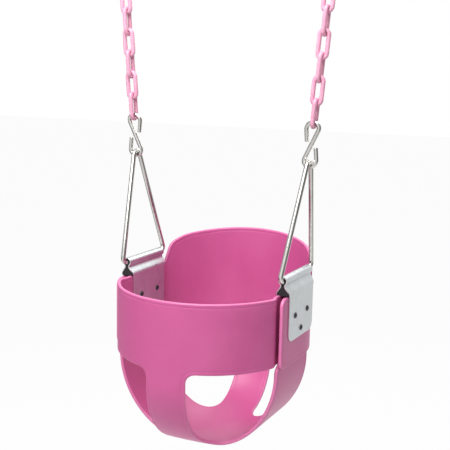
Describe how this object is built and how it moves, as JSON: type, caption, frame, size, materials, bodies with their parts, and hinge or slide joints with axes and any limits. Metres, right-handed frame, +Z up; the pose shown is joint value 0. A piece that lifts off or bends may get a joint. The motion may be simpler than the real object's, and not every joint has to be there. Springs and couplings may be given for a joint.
{
  "type": "toddler bucket swing",
  "caption": "High-back moulded bucket seat with leg holes, held at two riveted brackets by triangle hangers, hooks and coated chain.",
  "frame": {"origin": "midway between the tops of the two upper hooks, on the line the swing hangs from", "axes": "+X the sitting child's left, -Y the front of the seat, +Z up"},
  "size_m": [0.3996, 0.348, 0.8412],
  "materials": {
    "pink_sheet": "satin",
    "zinc_sheet": "satin",
    "black_liner": "matte",
    "rivet_steel": "satin",
    "bright_rod": "polished",
    "coated_chain": "gloss"
  },
  "bodies": {
    "root": {"top_hook_left": "bright_rod", "top_hook_right": "bright_rod"},
    "left_link_1": {"chain_link_left_1": "coated_chain"},
    "left_link_2": {"chain_link_left_2": "coated_chain"},
    "left_link_3": {"chain_link_left_3": "coated_chain"},
    "left_link_4": {"chain_link_left_4": "coated_chain"},
    "left_link_5": {"chain_link_left_5": "coated_chain"},
    "left_link_6": {"chain_link_left_6": "coated_chain"},
    "left_link_7": {"chain_link_left_7": "coated_chain"},
    "left_hook": {"s_hook_left": "bright_rod"},
    "left_hanger": {"triangle_hanger_left": "bright_rod"},
    "right_link_1": {"chain_link_right_1": "coated_chain"},
    "right_link_2": {"chain_link_right_2": "coated_chain"},
    "right_link_3": {"chain_link_right_3": "coated_chain"},
    "right_link_4": {"chain_link_right_4": "coated_chain"},
    "right_link_5": {"chain_link_right_5": "coated_chain"},
    "right_link_6": {"chain_link_right_6": "coated_chain"},
    "right_link_7": {"chain_link_right_7": "coated_chain"},
    "right_hook": {"s_hook_right": "bright_rod"},
    "right_hanger": {"triangle_hanger_right": "bright_rod"},
    "seat": {"seat_shell": "pink_sheet", "bracket_left": "zinc_sheet", "bracket_liner_left": "black_liner", "rivets_left": "rivet_steel", "bracket_right": "zinc_sheet", "bracket_liner_right": "black_liner", "rivets_right": "rivet_steel"}
  },
  "joints": [
    {"name": "left_link_1_swing", "type": "hinge", "parent": "root", "child": "left_link_1", "pos_m": [-0.18191, 0, -0.06874], "axis": [1, 0, 0], "range_deg": [-45, 45]},
    {"name": "left_link_2_swing", "type": "hinge", "parent": "left_link_1", "child": "left_link_2", "pos_m": [-0.17949, 0, -0.09633], "axis": [-1, 0, 0], "range_deg": [-45, 45]},
    {"name": "left_link_3_swing", "type": "hinge", "parent": "left_link_2", "child": "left_link_3", "pos_m": [-0.17581, 0, -0.13847], "axis": [1, 0, 0], "range_deg": [-45, 45]},
    {"name": "left_link_4_swing", "type": "hinge", "parent": "left_link_3", "child": "left_link_4", "pos_m": [-0.17339, 0, -0.16607], "axis": [-1, 0, 0], "range_deg": [-45, 45]},
    {"name": "left_link_5_swing", "type": "hinge", "parent": "left_link_4", "child": "left_link_5", "pos_m": [-0.1697, 0, -0.2082], "axis": [1, 0, 0], "range_deg": [-45, 45]},
    {"name": "left_link_6_swing", "type": "hinge", "parent": "left_link_5", "child": "left_link_6", "pos_m": [-0.16729, 0, -0.2358], "axis": [-1, 0, 0], "range_deg": [-45, 45]},
    {"name": "left_link_7_swing", "type": "hinge", "parent": "left_link_6", "child": "left_link_7", "pos_m": [-0.1636, 0, -0.27794], "axis": [1, 0, 0], "range_deg": [-45, 45]},
    {"name": "left_hook_swing", "type": "hinge", "parent": "left_link_7", "child": "left_hook", "pos_m": [-0.16119, 0, -0.30553], "axis": [-1, 0, 0], "range_deg": [-45, 45]},
    {"name": "left_hanger_lean", "type": "hinge", "parent": "left_hook", "child": "left_hanger", "pos_m": [-0.15586, 0, -0.3665], "axis": [0, 1, 0], "range_deg": [-8, 8]},
    {"name": "right_link_1_swing", "type": "hinge", "parent": "root", "child": "right_link_1", "pos_m": [0.18191, 0, -0.06874], "axis": [1, 0, 0], "range_deg": [-45, 45]},
    {"name": "right_link_2_swing", "type": "hinge", "parent": "right_link_1", "child": "right_link_2", "pos_m": [0.17949, 0, -0.09633], "axis": [-1, 0, 0], "range_deg": [-45, 45]},
    {"name": "right_link_3_swing", "type": "hinge", "parent": "right_link_2", "child": "right_link_3", "pos_m": [0.17581, 0, -0.13847], "axis": [1, 0, 0], "range_deg": [-45, 45]},
    {"name": "right_link_4_swing", "type": "hinge", "parent": "right_link_3", "child": "right_link_4", "pos_m": [0.17339, 0, -0.16607], "axis": [-1, 0, 0], "range_deg": [-45, 45]},
    {"name": "right_link_5_swing", "type": "hinge", "parent": "right_link_4", "child": "right_link_5", "pos_m": [0.1697, 0, -0.2082], "axis": [1, 0, 0], "range_deg": [-45, 45]},
    {"name": "right_link_6_swing", "type": "hinge", "parent": "right_link_5", "child": "right_link_6", "pos_m": [0.16729, 0, -0.2358], "axis": [-1, 0, 0], "range_deg": [-45, 45]},
    {"name": "right_link_7_swing", "type": "hinge", "parent": "right_link_6", "child": "right_link_7", "pos_m": [0.1636, 0, -0.27794], "axis": [1, 0, 0], "range_deg": [-45, 45]},
    {"name": "right_hook_swing", "type": "hinge", "parent": "right_link_7", "child": "right_hook", "pos_m": [0.16119, 0, -0.30553], "axis": [-1, 0, 0], "range_deg": [-45, 45]},
    {"name": "right_hanger_lean", "type": "hinge", "parent": "right_hook", "child": "right_hanger", "pos_m": [0.15586, 0, -0.3665], "axis": [0, 1, 0], "range_deg": [-8, 8]},
    {"name": "seat_level", "type": "hinge", "parent": "left_hanger", "child": "seat", "pos_m": [-0.14, 0, -0.54773], "axis": [0, 1, 0], "range_deg": [-9.2, 9.2]}
  ],
  "couplings": [
    {"joint": "right_link_1_swing", "follows": "left_link_1_swing", "ratio": 1},
    {"joint": "right_link_2_swing", "follows": "left_link_2_swing", "ratio": 1},
    {"joint": "right_link_3_swing", "follows": "left_link_3_swing", "ratio": 1},
    {"joint": "right_link_4_swing", "follows": "left_link_4_swing", "ratio": 1},
    {"joint": "right_link_5_swing", "follows": "left_link_5_swing", "ratio": 1},
    {"joint": "right_link_6_swing", "follows": "left_link_6_swing", "ratio": 1},
    {"joint": "right_link_7_swing", "follows": "left_link_7_swing", "ratio": 1},
    {"joint": "right_hook_swing", "follows": "left_hook_swing", "ratio": 1},
    {"joint": "right_hanger_lean", "follows": "left_hanger_lean", "ratio": 1},
    {"joint": "seat_level", "follows": "left_hanger_lean", "ratio": -1.1133}
  ]
}
